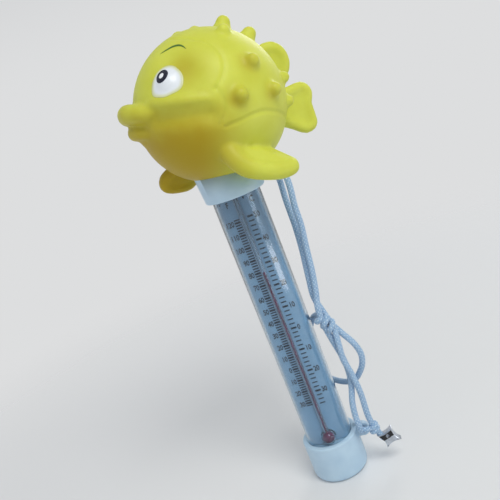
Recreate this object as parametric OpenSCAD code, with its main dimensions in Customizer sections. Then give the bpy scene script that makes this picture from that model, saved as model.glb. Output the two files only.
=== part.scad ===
// Floating pool thermometer: a hollow fish float on a clear tube with a weighted foot,
// a printed scale card and a glass thermometer inside it, and a knotted carrying cord.
// Frame: origin at the centre of the flat foot, +Z up the tube, the card faces -Y.

/* [Tube] */
// Outer diameter of the clear tube
tube_d = 20; // [18:0.5:22]
// Wall thickness of the clear tube
tube_wall = 0.9; // [0.7:0.1:1.2]
// Height of the tube's upper end above the foot
tube_top = 133.7; // [133:0.1:134]

/* [Foot] */
// Outer diameter of the foot cap
cap_d = 24.5; // [24:0.1:26]
// Height of the foot cap's rim
cap_h = 17.4; // [16:0.1:18]
// Thickness of the foot cap's floor
cap_floor = 3; // [2.5:0.1:3]
// Radius of the foot cap's lower edge
cap_edge_r = 3; // [2:0.1:3]
// Height of the steel ballast
ballast_h = 7.5; // [5:0.1:7.5]

/* [Collar] */
// Height of the collar's lower edge
collar_z = 130.7; // [130:0.1:131]
// Outer diameter of the collar at its lower edge
collar_low_d = 24.6; // [24:0.1:26]
// Outer diameter of the collar at the float
collar_high_d = 26.4; // [26:0.1:28]

/* [Float] */
// Radius of the float's round body
float_r = 29.3; // [29:0.1:29.5]
// Wall thickness of the soft float
float_wall = 1.8; // [1.5:0.1:2]
// Turn of the float about the tube
float_yaw = 25; // [20:1:30]
// Nose-up tilt of the float
float_pitch = 15; // [12:1:18]

/* [Scale] */
// Height of the zero Celsius mark
zero_z = 71; // [70.5:0.1:71.5]
// Length of one degree Celsius
degree_h = 1; // [0.98:0.01:1]
// Temperature shown, in degrees Celsius
shown_c = 27; // [10:1:35]

/* [Cord] */
// Diameter of the braided cord
cord_d = 2.6; // [2.4:0.1:2.7]

/* [Hidden] */
$fn = 72;

// Colours
vinyl_yellow = [0.80, 0.84, 0.42];
soft_blue = [0.60, 0.76, 0.87];
print_ink = [0.07, 0.12, 0.22];
card_blue = [0.50, 0.62, 0.72];
dye_red = [0.60, 0.08, 0.22];
cord_blue = [0.60, 0.74, 0.85];

// Fits
eps = 0.01;
glue_gap = 0.03;

// Tube and what it holds
tube_r = tube_d / 2;
bore_r = tube_r - tube_wall;
plug_h = 3;
plug_z = cap_floor;
ballast_z = plug_z + plug_h;
cushion_z = ballast_z + ballast_h;
cushion_h = 2.5;
seal_r = 0.7;
gasket_h = 0.8;

// Card and printing
card_front = -4;
card_t = 0.8;
card_gap = 0.15;
card_z = cushion_z + cushion_h + 0.2;
card_top = tube_top - 1.5;
ink_t = 0.12;
c_low = -36;
c_high = 50;
f_low = -32;
f_high = 122;
tick_step = 2;
label_step = 10;
tick_thin = 0.5;
tick_bold = 0.8;
f_tick_x = -3.9;
f_tick_w = 2.6;
c_tick_x = 1.7;
c_tick_w = 2.3;
f_label_right = -4.3;
c_label_left = 4.5;
digit_w = 1.05;
digit_h = 2.2;
digit_gap = 0.3;
digit_stroke = 0.3;
// Lit segments of each digit: top, upper left, upper right, middle, lower left, lower right, bottom
DIGITS = [[1, 1, 1, 0, 1, 1, 1], [0, 0, 1, 0, 0, 1, 0], [1, 0, 1, 1, 1, 0, 1],
    [1, 0, 1, 1, 0, 1, 1], [0, 1, 1, 1, 0, 1, 0], [1, 1, 0, 1, 0, 1, 1],
    [1, 1, 0, 1, 1, 1, 1], [1, 0, 1, 0, 0, 1, 0], [1, 1, 1, 1, 1, 1, 1],
    [1, 1, 1, 1, 0, 1, 1]];

// Glass thermometer
stem_r = 1.2;
stem_y = card_front - stem_r - 0.1;
bulb_r = 3;
bulb_z = 19;
bulb_wall = 0.4;
bore_small_r = 0.5;
column_r = 0.45;
column_foot_z = 22.5;
column_top_h = 0.5;
stem_top = 131.6;
shown_z = zero_z + degree_h * shown_c;
clip_z = 130.3;

// Float, in its own frame: +X to the nose, +Y to its left, +Z up
float_centre = [3, 1.4, 164.8];
neck_r = 8;
neck_clear = 0.05;
neck_bead_r = 10.5;
neck_bead_top = 141;
spigot_top = 144.5;
barb_r = 9.2;
paint_t = 0.3;
eye_turn = 47.5;
eye_lift = 17.5;
eye_r = 6.6;
pupil_turn = 42;
pupil_lift = 21.5;
pupil_r = 2.9;
glint_r = 1;
brow_r = 0.55;
// Brow points: turn from the nose, lift above the middle
brow_points = [[32, 42.5], [43, 46.3], [51, 45], [60, 39.4]];
// Blunt bumps: turn from the nose, lift, height, base radius, tip radius
bumps = [[180, 73.8, 5.2, 4.6, 2.4], [180, 54.4, 5.4, 4.6, 2.4], [0, 85, 1.2, 3.8, 2],
    [0, 71, 0.9, 3.8, 2], [112, 25, 2.6, 3.6, 1.8], [96, 2.5, 2.6, 3.6, 1.8],
    [126, 5, 2.6, 3.4, 1.8], [104, 57, 2.2, 3.4, 1.8], [156, 17, 2.2, 3.2, 1.6]];

// Cord lugs
lug_t = 3;
low_lug_r = 14.6;
low_lug_z = 15.2;
low_lug_disc = 3;
low_lug_hole = 1.6;
high_lug_turn = 20;
high_lug_r = 20.2;
high_lug_z = 134.4;
high_lug_disc = 3.4;
high_lug_hole = 1.9;

// Route of the cord: from the foot's lug, up, through the collar's lug, down to the crimp
lanyard_route = [[14.6, 0.6, 15.2], [14.6, -1.2, 15.25], [14.55, -3.9, 16.1], [14.45, -6.2, 18.4],
    [14.3, -7.2, 21.6], [14.3, -6.7, 26.4], [14.9, -5, 31.5], [16.5, -3.2, 37], [17.5, -2.2, 42.5],
    [17.5, -2.2, 50], [15.9, -2.4, 60], [14.8, -3.1, 69], [15, -3.1, 75.5], [16.4, -2, 82],
    [17.8, -1, 90.5], [18.9, 0, 101], [20, 0.2, 110], [20.2, 0.4, 118], [21, 0.8, 125.6],
    [20.93, 1.54, 130.25], [20.19, 3.59, 133.25], [18.98, 6.91, 134.4], [17.77, 10.23, 133.25],
    [17.03, 12.28, 130.25], [16.95, 12.5, 126.5], [16.8, 9.9, 119.5], [17.1, 5.6, 109],
    [16.7, 3.2, 100], [15.4, 1.2, 88], [14.7, 0, 79.5], [16.3, -0.5, 72], [18.2, -2.6, 65.5],
    [18, -5, 58.5], [17.6, -5.2, 52], [18.7, -5.2, 44.5], [19.5, -5.2, 35], [19.2, -5.3, 22.5],
    [20.2, -5.2, 17], [21.3, -5.6, 13.9], [22.2, -5.9, 11.6]];
loop_route = [[18.4, -1.6, 65.4], [21, -2.4, 61], [23.9, -3.2, 56], [25.1, -3.1, 50.6],
    [24.2, -2.3, 46], [22, -1.0, 42], [19.2, 0.7, 38.6], [15.8, 3.2, 36.7], [12, 7, 35.8],
    [7.4, 11.6, 36.4], [3.8, 13.4, 39.8], [3, 13.6, 45], [4, 13.4, 53], [6.6, 12.4, 61],
    [10.2, 9.2, 67.4], [13.2, 4.6, 69.8], [14.4, 0.6, 70.4]];
cord_sides = 8;

function unit(v) = v / norm(v);
function tangent(p, i) = unit(p[min(i + 1, len(p) - 1)] - p[max(i - 1, 0)]);
function carried(v, t) = unit(v - (v * t) * t);
// Side directions along a route, carried from ring to ring so that the tube doesn't twist
function sides_along(p, i = 0, v = [0.3, 0.2, 1]) =
    i == len(p) ? [] : let (s = carried(v, tangent(p, i))) concat([s], sides_along(p, i + 1, s));
function ring(centre, along, side, r) = [for (k = [0 : cord_sides - 1])
    let (a = 360 * k / cord_sides) centre + r * (cos(a) * side + sin(a) * cross(along, side))];

module cord_tube(route) {
    side = sides_along(route);
    last = len(route) - 1;
    points = [for (i = [0 : last]) each ring(route[i], tangent(route, i), side[i], cord_d / 2)];
    walls = [for (i = [0 : last - 1], k = [0 : cord_sides - 1])
        let (n = (k + 1) % cord_sides, a = i * cord_sides, b = a + cord_sides)
        each [[a + k, b + k, a + n], [a + n, b + k, b + n]]];
    start_face = [for (k = [0 : cord_sides - 1]) k];
    end_face = [for (k = [0 : cord_sides - 1]) (last + 1) * cord_sides - 1 - k];
    polyhedron(points, concat(walls, [start_face, end_face]));
}

module ring_solid(major_r, minor_r) {
    rotate_extrude() translate([major_r, 0]) circle(r = minor_r, $fn = 36);
}

module place_float() {
    translate(float_centre) rotate([0, -float_pitch, 180 + float_yaw]) children();
}

// Turns +X of the float's frame towards a point of its body
module toward(turn, lift) {
    rotate([0, -lift, turn]) children();
}

module lip(front_x, side_x, side_y, z, r) {
    hull() {
        translate([front_x, 0, z]) sphere(r = r, $fn = 20);
        for (s = [-1, 1]) translate([side_x, s * side_y, z - 1]) sphere(r = r * 0.85, $fn = 20);
    }
}

module dorsal_fin() {
    hull() {
        translate([-21, 0, 22]) sphere(r = 5, $fn = 20);
        translate([-28.6, 0, 19.6]) rotate([90, 0, 0]) cylinder(r = 4, h = 5, center = true, $fn = 24);
        translate([-31, 0, 13.6]) rotate([90, 0, 0]) cylinder(r = 3.6, h = 5, center = true, $fn = 24);
    }
}

module tail_fin() {
    hull() {
        translate([-26, 0, -2]) sphere(r = 8.6, $fn = 24);
        translate([-38, 0, 3]) rotate([90, 0, 0]) cylinder(r = 4.6, h = 4.4, center = true, $fn = 24);
        translate([-38.6, 0, -9]) rotate([90, 0, 0]) cylinder(r = 4.8, h = 4.4, center = true, $fn = 24);
    }
}

// The paddle fin on the left side sweeps back
module left_fin() {
    hull() {
        translate([0, 20, -16]) sphere(r = 4.5, $fn = 20);
        translate([-16, 20, -13]) sphere(r = 4.5, $fn = 20);
        translate([0, 25, -20.4]) sphere(r = 3.2, $fn = 20);
        translate([-19.4, 26, -25]) sphere(r = 3.6, $fn = 20);
        translate([-9, 26, -25.4]) sphere(r = 3.4, $fn = 20);
    }
}

// The paddle fin on the right side reaches forward
module right_fin() {
    hull() {
        translate([12, -14, -18]) sphere(r = 4.5, $fn = 20);
        translate([-2, -18, -18]) sphere(r = 4.5, $fn = 20);
        translate([18.2, -18, -27.2]) sphere(r = 3, $fn = 20);
        translate([14.4, -19, -28.8]) sphere(r = 3, $fn = 20);
        translate([6.4, -20, -27.6]) sphere(r = 3, $fn = 20);
    }
}

module float_bumps() {
    for (b = bumps, s = [-1, 1])
        if (s > 0 || b[0] % 180 != 0)
            toward(s * b[0], b[1]) translate([float_r - 1, 0, 0]) rotate([0, 90, 0])
                cylinder(r1 = b[3], r2 = b[4], h = b[2] + 1, $fn = 24);
}

module float_outside() {
    sphere(r = float_r, $fn = 96);
    hull() {
        translate([18, 0, -3]) sphere(r = 13.5, $fn = 24);
        translate([27, 0, -2.5]) sphere(r = 7, $fn = 24);
    }
    lip(31.6, 26.4, 8, 0, 3.4);
    lip(29.6, 25, 7.4, -7, 3);
    dorsal_fin();
    tail_fin();
    left_fin();
    right_fin();
    float_bumps();
}

module float_shell() {
    color(vinyl_yellow)
    difference() {
        place_float() float_outside();
        difference() {
            place_float() sphere(r = float_r - float_wall, $fn = 96);
            cylinder(r = neck_bead_r, h = neck_bead_top);
        }
        translate([0, 0, collar_z])
            cylinder(r = neck_r + neck_clear, h = neck_bead_top - collar_z + 1);
    }
}

// A layer of paint on the float's body, inside a round patch
module paint_patch(turn, lift, r, layer) {
    inner = float_r + layer * paint_t;
    intersection() {
        difference() {
            sphere(r = inner + paint_t, $fn = 96);
            sphere(r = inner, $fn = 96);
        }
        toward(turn, lift) rotate([0, 90, 0]) cylinder(r = r, h = 2 * float_r);
    }
}

module eye_whites() {
    color("white")
    place_float() for (s = [-1, 1]) paint_patch(s * eye_turn, eye_lift, eye_r, 0);
}

module eye_pupils() {
    color(print_ink)
    place_float() for (s = [-1, 1]) paint_patch(s * pupil_turn, pupil_lift, pupil_r, 1);
}

module eye_glints() {
    color("white")
    place_float() for (s = [-1, 1]) paint_patch(s * pupil_turn, pupil_lift, glint_r, 2);
}

module eyebrows() {
    color("olivedrab")
    place_float() for (s = [-1, 1], i = [0 : len(brow_points) - 2]) hull() for (k = [i, i + 1])
        toward(s * brow_points[k][0], brow_points[k][1])
            translate([float_r + brow_r, 0, 0]) sphere(r = brow_r, $fn = 12);
}

// A flat lug with one hole, standing out along +X
module cord_lug(reach, root, z, disc_r, hole_r) {
    difference() {
        rotate([90, 0, 0]) linear_extrude(lug_t, center = true) {
            translate([reach, z]) circle(r = disc_r);
            translate([root, z - disc_r + 0.4]) square([reach - root, 2 * disc_r - 0.8]);
        }
        translate([reach, 0, z]) rotate([90, 0, 0]) cylinder(r = hole_r, h = lug_t + 1, center = true);
    }
}

module collar() {
    skirt_h = 13;
    color(soft_blue)
    difference() {
        union() {
            difference() {
                union() {
                    translate([0, 0, collar_z])
                        cylinder(d1 = collar_low_d, d2 = collar_high_d, h = skirt_h);
                    rotate([0, 0, high_lug_turn])
                        cord_lug(high_lug_r, tube_r + 1, high_lug_z, high_lug_disc, high_lug_hole);
                }
                place_float() sphere(r = float_r + glue_gap, $fn = 96);
            }
            translate([0, 0, tube_top]) cylinder(r = neck_r, h = spigot_top - tube_top);
            translate([0, 0, neck_bead_top + 0.1])
                cylinder(r1 = barb_r, r2 = neck_r, h = spigot_top - neck_bead_top - 0.1);
        }
        translate([0, 0, collar_z - 1])
            cylinder(r = tube_r + glue_gap, h = tube_top + gasket_h - collar_z + 1);
        translate([0, 0, tube_top + gasket_h + 1.6]) cylinder(r = neck_r - 1.6, h = spigot_top);
    }
}

module collar_gasket() {
    color("dimgray")
    translate([0, 0, tube_top]) difference() {
        cylinder(r = tube_r, h = gasket_h);
        translate([0, 0, -1]) cylinder(r = bore_r - 0.8, h = gasket_h + 2);
    }
}

module clear_tube() {
    color([0.85, 0.92, 0.96, 0.3])
    difference() {
        translate([0, 0, plug_z]) cylinder(r = tube_r, h = tube_top - plug_z);
        translate([0, 0, plug_z - 1]) cylinder(r = bore_r, h = tube_top);
    }
}

// The card is one sheet: a flat front, and a back that follows the tube's bore
module scale_card() {
    card_r = bore_r - card_gap;
    color(card_blue)
    translate([0, 0, card_z]) difference() {
        linear_extrude(card_top - card_z) difference() {
            circle(r = card_r);
            translate([-tube_d, -tube_d]) square([2 * tube_d, tube_d + card_front]);
            difference() {
                circle(r = card_r - card_t);
                translate([-tube_d, -tube_d]) square([2 * tube_d, tube_d + card_front + card_t]);
            }
        }
        translate([0, card_front + card_t + 1, bulb_z - card_z]) rotate([90, 0, 0])
            cylinder(r = bulb_r + 0.2, h = tube_d);
    }
}

// One printed mark on the front of the card
module print_box(x, z, w, h) {
    translate([x, card_front - ink_t, z]) cube([w, ink_t, h]);
}

module tick_row(low, high, base_z, step_h, x, w) {
    for (t = [low : tick_step : high]) {
        h = t % label_step == 0 ? tick_bold : tick_thin;
        print_box(x, base_z + t * step_h - h / 2, w, h);
    }
}

module fahrenheit_ticks() {
    color(print_ink)
    tick_row(f_low, f_high, zero_z - 32 * degree_h / 1.8, degree_h / 1.8, f_tick_x, f_tick_w);
}

module celsius_ticks() {
    color(print_ink)
    tick_row(c_low, c_high, zero_z, degree_h, c_tick_x, c_tick_w);
}

module digit(n, x, z) {
    lit = DIGITS[n];
    half = digit_h / 2;
    right = digit_w - digit_stroke;
    bar = digit_stroke / 2;
    for (k = [0 : 2])
        if (lit[[0, 3, 6][k]] == 1)
            print_box(x, z + digit_h - k * half - (k == 0 ? digit_stroke : k == 1 ? bar : 0),
                digit_w, digit_stroke);
    for (row = [0, 1], col = [0, 1])
        if (lit[(row == 0 ? 1 : 4) + col] == 1)
            print_box(x + col * right, z + (1 - row) * half, digit_stroke, half);
}

// A number centred on height z, its digits running to the right from x
module number(value, x, z) {
    n = abs(value);
    digits = n >= 100 ? [floor(n / 100), floor(n / 10) % 10, n % 10]
        : n >= 10 ? [floor(n / 10), n % 10] : [n];
    for (i = [0 : len(digits) - 1])
        digit(digits[i], x + i * (digit_w + digit_gap), z - digit_h / 2);
}

function number_w(value) = (abs(value) >= 100 ? 3 : abs(value) >= 10 ? 2 : 1)
    * (digit_w + digit_gap) - digit_gap;

module fahrenheit_numerals() {
    color(print_ink)
    for (f = [-30 : label_step : 120])
        number(f, f_label_right - number_w(f), zero_z + (f - 32) * degree_h / 1.8);
}

module celsius_numerals() {
    color(print_ink)
    for (c = [-30 : label_step : 50])
        number(c, c_label_left, zero_z + c * degree_h);
}

module thermometer_glass() {
    color([0.9, 0.95, 0.98, 0.4])
    translate([0, stem_y, 0]) difference() {
        union() {
            translate([0, 0, bulb_z]) cylinder(r = stem_r, h = stem_top - bulb_z);
            translate([0, 0, bulb_z]) sphere(r = bulb_r);
        }
        translate([0, 0, bulb_z]) cylinder(r = bore_small_r, h = stem_top - bulb_z - 1.4);
        translate([0, 0, bulb_z]) sphere(r = bulb_r - bulb_wall);
    }
}

module bulb_liquid() {
    color(dye_red)
    translate([0, stem_y, bulb_z]) {
        sphere(r = bulb_r - bulb_wall - eps);
        cylinder(r = column_r, h = column_foot_z - bulb_z);
    }
}

module liquid_column() {
    color(dye_red)
    translate([0, stem_y, column_foot_z])
        cylinder(r = column_r, h = shown_z - column_top_h - column_foot_z);
}

module column_top() {
    color(dye_red)
    translate([0, stem_y, shown_z - column_top_h]) cylinder(r = column_r, h = column_top_h);
}

// One wire clip near the stem's upper end, hidden behind the collar
module stem_clip() {
    clip_half_w = 1.6;
    clip_front = stem_y - stem_r - 0.3;
    clip_h = 0.8;
    color("silver")
    difference() {
        translate([-clip_half_w, clip_front, clip_z])
            cube([2 * clip_half_w, card_front - ink_t - clip_front, clip_h]);
        translate([0, stem_y, clip_z - 1]) cylinder(r = stem_r + eps, h = clip_h + 2);
    }
}

module bulb_cushion() {
    color("lightblue")
    translate([0, 0, cushion_z]) cylinder(r = bore_r - 0.1, h = cushion_h - 0.1);
}

module ballast_weight() {
    chamfer = 0.8;
    weight_r = bore_r - 0.3;
    color("gray")
    translate([0, 0, ballast_z]) {
        cylinder(r1 = weight_r - chamfer, r2 = weight_r, h = chamfer);
        translate([0, 0, chamfer]) cylinder(r = weight_r, h = ballast_h - 2 * chamfer);
        translate([0, 0, ballast_h - chamfer])
            cylinder(r1 = weight_r, r2 = weight_r - chamfer, h = chamfer);
    }
}

module tube_plug() {
    color("white")
    translate([0, 0, plug_z]) difference() {
        cylinder(r = bore_r - 0.05, h = plug_h);
        translate([0, 0, plug_h / 2]) ring_solid(bore_r - seal_r, seal_r + eps);
    }
}

module plug_seal() {
    color("dimgray")
    translate([0, 0, plug_z + plug_h / 2]) ring_solid(bore_r - seal_r - eps, seal_r);
}

module bottom_cap() {
    rim_chamfer = 0.6;
    cap_r = cap_d / 2;
    color(soft_blue)
    difference() {
        union() {
            cylinder(r = cap_r - cap_edge_r, h = cap_edge_r);
            translate([0, 0, cap_edge_r]) ring_solid(cap_r - cap_edge_r, cap_edge_r);
            translate([0, 0, cap_edge_r]) cylinder(r = cap_r, h = cap_h - cap_edge_r - rim_chamfer);
            translate([0, 0, cap_h - rim_chamfer])
                cylinder(r1 = cap_r, r2 = cap_r - rim_chamfer, h = rim_chamfer);
            cord_lug(low_lug_r, tube_r + 1, low_lug_z, low_lug_disc, low_lug_hole);
        }
        translate([0, 0, cap_floor]) cylinder(r = tube_r + glue_gap, h = cap_h);
    }
}

module lanyard() {
    color(cord_blue) cord_tube(lanyard_route);
}

module bow_loop() {
    color(cord_blue) cord_tube(loop_route);
}

module bow_knot() {
    color(cord_blue)
    hull() {
        translate([14.4, -2.4, 70.8]) sphere(r = 3.4, $fn = 24);
        translate([17.4, -2.4, 65.6]) sphere(r = 3.3, $fn = 24);
    }
}

module end_knot() {
    color(cord_blue)
    hull() {
        translate([15.4, -5.6, 18.6]) sphere(r = 2, $fn = 24);
        translate([19.7, -5.2, 17.3]) sphere(r = 2.4, $fn = 24);
    }
}

// Four-cornered outline with hollow sides, as a crimp that was squeezed from all round
module crimp_outline(side) {
    hollow_r = side * 1.3;
    difference() {
        square(side, center = true);
        for (k = [0 : 3])
            rotate(90 * k) translate([side / 2 + hollow_r - 0.8, 0]) circle(r = hollow_r);
    }
}

module place_crimp() {
    translate([24.6, -6, 12]) rotate([90, -20, 0]) children();
}

module cord_crimp() {
    color("lightsteelblue")
    place_crimp() difference() {
        linear_extrude(3.4, center = true) crimp_outline(7.2);
        translate([0, 1.4, 0]) cylinder(r = 0.8, h = 5, center = true);
    }
}

module crimp_face() {
    color("black")
    place_crimp() translate([0, 0, 1.7]) difference() {
        linear_extrude(0.4) intersection() {
            crimp_outline(6.6);
            translate([-3.3, 0.4]) square([6, 2.9]);
        }
        translate([0, 1.4, 0]) cylinder(r = 0.8, h = 3, center = true);
    }
}

float_shell();
eye_whites();
eye_pupils();
eye_glints();
eyebrows();
collar();
collar_gasket();
clear_tube();
scale_card();
fahrenheit_ticks();
fahrenheit_numerals();
celsius_ticks();
celsius_numerals();
thermometer_glass();
bulb_liquid();
liquid_column();
column_top();
stem_clip();
bulb_cushion();
ballast_weight();
tube_plug();
plug_seal();
bottom_cap();
lanyard();
bow_loop();
bow_knot();
end_knot();
cord_crimp();
crimp_face();
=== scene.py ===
import math

import bmesh
import bpy
import numpy as np
from mathutils import Euler, Matrix, Vector
from mathutils.bvhtree import BVHTree


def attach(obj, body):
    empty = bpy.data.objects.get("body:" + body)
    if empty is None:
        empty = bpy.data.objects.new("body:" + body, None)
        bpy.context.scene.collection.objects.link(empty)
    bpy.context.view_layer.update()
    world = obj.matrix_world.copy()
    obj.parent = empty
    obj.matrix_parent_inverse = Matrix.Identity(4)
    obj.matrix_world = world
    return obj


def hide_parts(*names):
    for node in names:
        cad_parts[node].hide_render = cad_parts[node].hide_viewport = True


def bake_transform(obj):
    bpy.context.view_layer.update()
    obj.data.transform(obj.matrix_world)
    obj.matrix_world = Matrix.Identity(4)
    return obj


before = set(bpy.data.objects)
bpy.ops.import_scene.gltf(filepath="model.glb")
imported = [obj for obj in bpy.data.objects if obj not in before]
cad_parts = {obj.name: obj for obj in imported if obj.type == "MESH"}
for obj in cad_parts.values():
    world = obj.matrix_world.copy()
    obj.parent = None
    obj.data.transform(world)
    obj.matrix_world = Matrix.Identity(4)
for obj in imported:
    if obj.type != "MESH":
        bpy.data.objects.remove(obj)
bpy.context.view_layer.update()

MM = 0.001
BODY = "thermometer"
AROUND = 128  # sides of a turned plastic piece
scene = bpy.context.scene
scene.view_settings.view_transform = "Standard"


# ---------------------------------------------------------------- helpers

def mm(*values):
    """A point given in millimetres, in metres."""
    return Vector(values) * MM


def colour(hex_code):
    """An sRGB hex colour as linear RGBA."""
    channels = [int(hex_code[i:i + 2], 16) / 255 for i in (0, 2, 4)]
    linear = [c / 12.92 if c <= 0.04045 else ((c + 0.055) / 1.055) ** 2.4 for c in channels]
    return (*linear, 1.0)


def add_node(tree, kind, inputs=None, **settings):
    """Adds a shader node with its settings; each input takes a value or another node's socket."""
    made = tree.nodes.new("ShaderNode" + kind)
    for name, value in settings.items():
        setattr(made, name, value)
    for socket, value in (inputs or {}).items():
        if isinstance(value, bpy.types.NodeSocket):
            tree.links.new(value, made.inputs[socket])
        else:
            made.inputs[socket].default_value = value
    return made


def new_material(name):
    """An empty material and its node tree."""
    material = bpy.data.materials.new(name)
    material.use_nodes = True
    material.node_tree.nodes.clear()
    return material, material.node_tree


def show(tree, shader):
    """Sends a shader to the material's output."""
    add_node(tree, "OutputMaterial", {"Surface": shader.outputs[0]})


def place_on_object(tree, size_mm=1.0, centre=(0, 0, 0), turn=(0, 0, 0)):
    """Object coordinates counted in steps of size_mm from a centre, for a pattern of that size."""
    coords = add_node(tree, "TexCoord")
    moved = add_node(tree, "Mapping", {"Vector": coords.outputs["Object"], "Location": centre,
                                       "Rotation": turn}, vector_type="TEXTURE")
    return add_node(tree, "VectorMath", {0: moved.outputs[0], "Scale": 1 / (size_mm * MM)},
                    operation="SCALE").outputs[0]


def noise(tree, vector, detail=2.0, rough=0.5):
    """Soft grain, one lump to each step of the vector."""
    return add_node(tree, "TexNoise", {"Vector": vector, "Scale": 1.0, "Detail": detail,
                                       "Roughness": rough}).outputs["Fac"]


def spread(tree, value, low, high):
    """Stretches a grain value to run between two numbers."""
    return add_node(tree, "MapRange", {"Value": value, "From Min": 0.3, "From Max": 0.7,
                                       "To Min": low, "To Max": high}).outputs[0]


def tint(tree, amount, first, second):
    """Mixes two colours by an amount."""
    mixed = add_node(tree, "Mix", data_type="RGBA")
    for socket, value in ((mixed.inputs[0], amount), (mixed.inputs[6], first),
                          (mixed.inputs[7], second)):
        if isinstance(value, bpy.types.NodeSocket):
            tree.links.new(value, socket)
        else:
            socket.default_value = value
    return mixed.outputs[2]


def bump(tree, height, depth_mm, strength=1.0):
    """A bump whose relief is depth_mm deep."""
    return add_node(tree, "Bump", {"Height": height, "Distance": depth_mm * MM,
                                   "Strength": strength}).outputs[0]


def add_piece(name, mesh, material, smooth=True, body=BODY):
    """Makes a mesh a piece that rides with a body and takes its finish from a slot."""
    mesh.name = name
    mesh.materials.clear()
    mesh.materials.append(material)
    for face in mesh.polygons:
        face.use_smooth = smooth
    made = bpy.data.objects.new(name, mesh)
    scene.collection.objects.link(made)
    if body:
        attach(made, body)
    return made


def to_mesh(bm, place=None):
    """A new mesh in metres from a bmesh in millimetres."""
    mesh = bpy.data.meshes.new("piece")
    bm.to_mesh(mesh)
    bm.free()
    mesh.transform((place or Matrix()) @ Matrix.Diagonal((MM, MM, MM, 1)))
    return mesh


def baked(mesh, *modifiers):
    """The mesh after a stack of modifiers, each a type and its settings."""
    holder = bpy.data.objects.new("holder", mesh)
    scene.collection.objects.link(holder)
    for kind, settings in modifiers:
        made = holder.modifiers.new(kind.lower(), kind)
        for name, value in settings.items():
            setattr(made, name, value)
    depsgraph = bpy.context.evaluated_depsgraph_get()
    result = bpy.data.meshes.new_from_object(holder.evaluated_get(depsgraph))
    bpy.data.objects.remove(holder)
    return result


def turned(profile, around=AROUND, centre=(0, 0)):
    """A closed ring or solid spun from a profile of radius and height, both in millimetres."""
    bm = bmesh.new()
    points = [bm.verts.new((r, 0, z)) for r, z in profile]
    closed = profile[0][0] > 0 or profile[-1][0] > 0
    pairs = list(zip(points, points[1:])) + ([(points[-1], points[0])] if closed else [])
    edges = [bm.edges.new(pair) for pair in pairs]
    bmesh.ops.spin(bm, geom=points + edges, cent=(0, 0, 0), axis=(0, 0, 1), angle=math.tau,
                   steps=around, use_merge=True)
    bmesh.ops.remove_doubles(bm, verts=bm.verts, dist=0.001)
    bmesh.ops.recalc_face_normals(bm, faces=bm.faces)
    bmesh.ops.translate(bm, verts=bm.verts, vec=(*centre, 0))
    return bm


def rounded(corners):
    """A profile with each corner given as radius, height and rounding turned into a short arc."""
    profile = []
    count = len(corners)
    for i, (r, z, soft) in enumerate(corners):
        here = Vector((r, z))
        if soft == 0:
            profile.append((r, z))
            continue
        before = (Vector(corners[i - 1][:2]) - here).normalized() * soft
        after = (Vector(corners[(i + 1) % count][:2]) - here).normalized() * soft
        for k in range(6):
            t = k / 5
            profile.append(tuple(here + before * (1 - t) ** 2 + after * t ** 2))
    return profile


def joined(bms):
    """Several bmeshes as one."""
    whole = bmesh.new()
    for bm in bms:
        mesh = bpy.data.meshes.new("part")
        bm.to_mesh(mesh)
        bm.free()
        whole.from_mesh(mesh)
        bpy.data.meshes.remove(mesh)
    return whole


def smooth_route(route, step):
    """Evenly spaced points on a centripetal Catmull-Rom curve through the route; its length."""
    p = [np.array(q, float) for q in route]
    p = [2 * p[0] - p[1], *p, 2 * p[-1] - p[-2]]
    line = []
    for a, b, c, d in zip(p, p[1:], p[2:], p[3:]):
        t0 = 0.0
        t1 = t0 + np.linalg.norm(b - a) ** 0.5
        t2 = t1 + np.linalg.norm(c - b) ** 0.5
        t3 = t2 + np.linalg.norm(d - c) ** 0.5
        for t in np.linspace(t1, t2, 24, endpoint=False):
            ab = (t1 - t) / (t1 - t0) * a + (t - t0) / (t1 - t0) * b
            bc = (t2 - t) / (t2 - t1) * b + (t - t1) / (t2 - t1) * c
            cd = (t3 - t) / (t3 - t2) * c + (t - t2) / (t3 - t2) * d
            abc = (t2 - t) / (t2 - t0) * ab + (t - t0) / (t2 - t0) * bc
            bcd = (t3 - t) / (t3 - t1) * bc + (t - t1) / (t3 - t1) * cd
            line.append((t2 - t) / (t2 - t1) * abc + (t - t1) / (t2 - t1) * bcd)
    line.append(p[-2])
    line = np.array(line)
    along = np.concatenate([[0], np.cumsum(np.linalg.norm(np.diff(line, axis=0), axis=1))])
    at = np.linspace(0, along[-1], max(8, int(along[-1] / step)))
    return np.stack([np.interp(at, along, line[:, k]) for k in range(3)], axis=1), along[-1]


# ---------------------------------------------------------------- camera, floor and light

def place_camera():
    """A close hand-held view: a little from the right, a little from above, and rolled."""
    azimuth, elevation, roll = math.radians(11), math.radians(13.7), math.radians(-21.6)
    target = mm(-2.9, 0, 107.1)
    distance = 243 * MM
    back = Vector((math.sin(azimuth) * math.cos(elevation),
                   -math.cos(azimuth) * math.cos(elevation), math.sin(elevation)))
    camera = bpy.data.objects.new("camera", bpy.data.cameras.new("camera"))
    camera.data.sensor_width = 36
    camera.data.lens = 43.2
    camera.data.clip_start = 0.01
    camera.location = target + back * distance
    facing = (-back).to_track_quat("-Z", "Y")
    camera.rotation_mode = "QUATERNION"
    camera.rotation_quaternion = facing @ Euler((0, 0, roll)).to_quaternion()
    scene.collection.objects.link(camera)
    scene.camera = camera


def add_area_light(name, place, aim, size, power, tone="FFFFFF"):
    """A soft studio panel at a place, turned to face its aim."""
    light = bpy.data.lights.new(name, "AREA")
    light.shape = "RECTANGLE"
    light.size, light.size_y = size
    light.energy = power
    light.color = colour(tone)[:3]
    made = bpy.data.objects.new(name, light)
    made.location = place
    made.rotation_euler = (Vector(aim) - Vector(place)).to_track_quat("-Z", "Y").to_euler()
    made.visible_camera = False
    scene.collection.objects.link(made)
    return made


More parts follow.
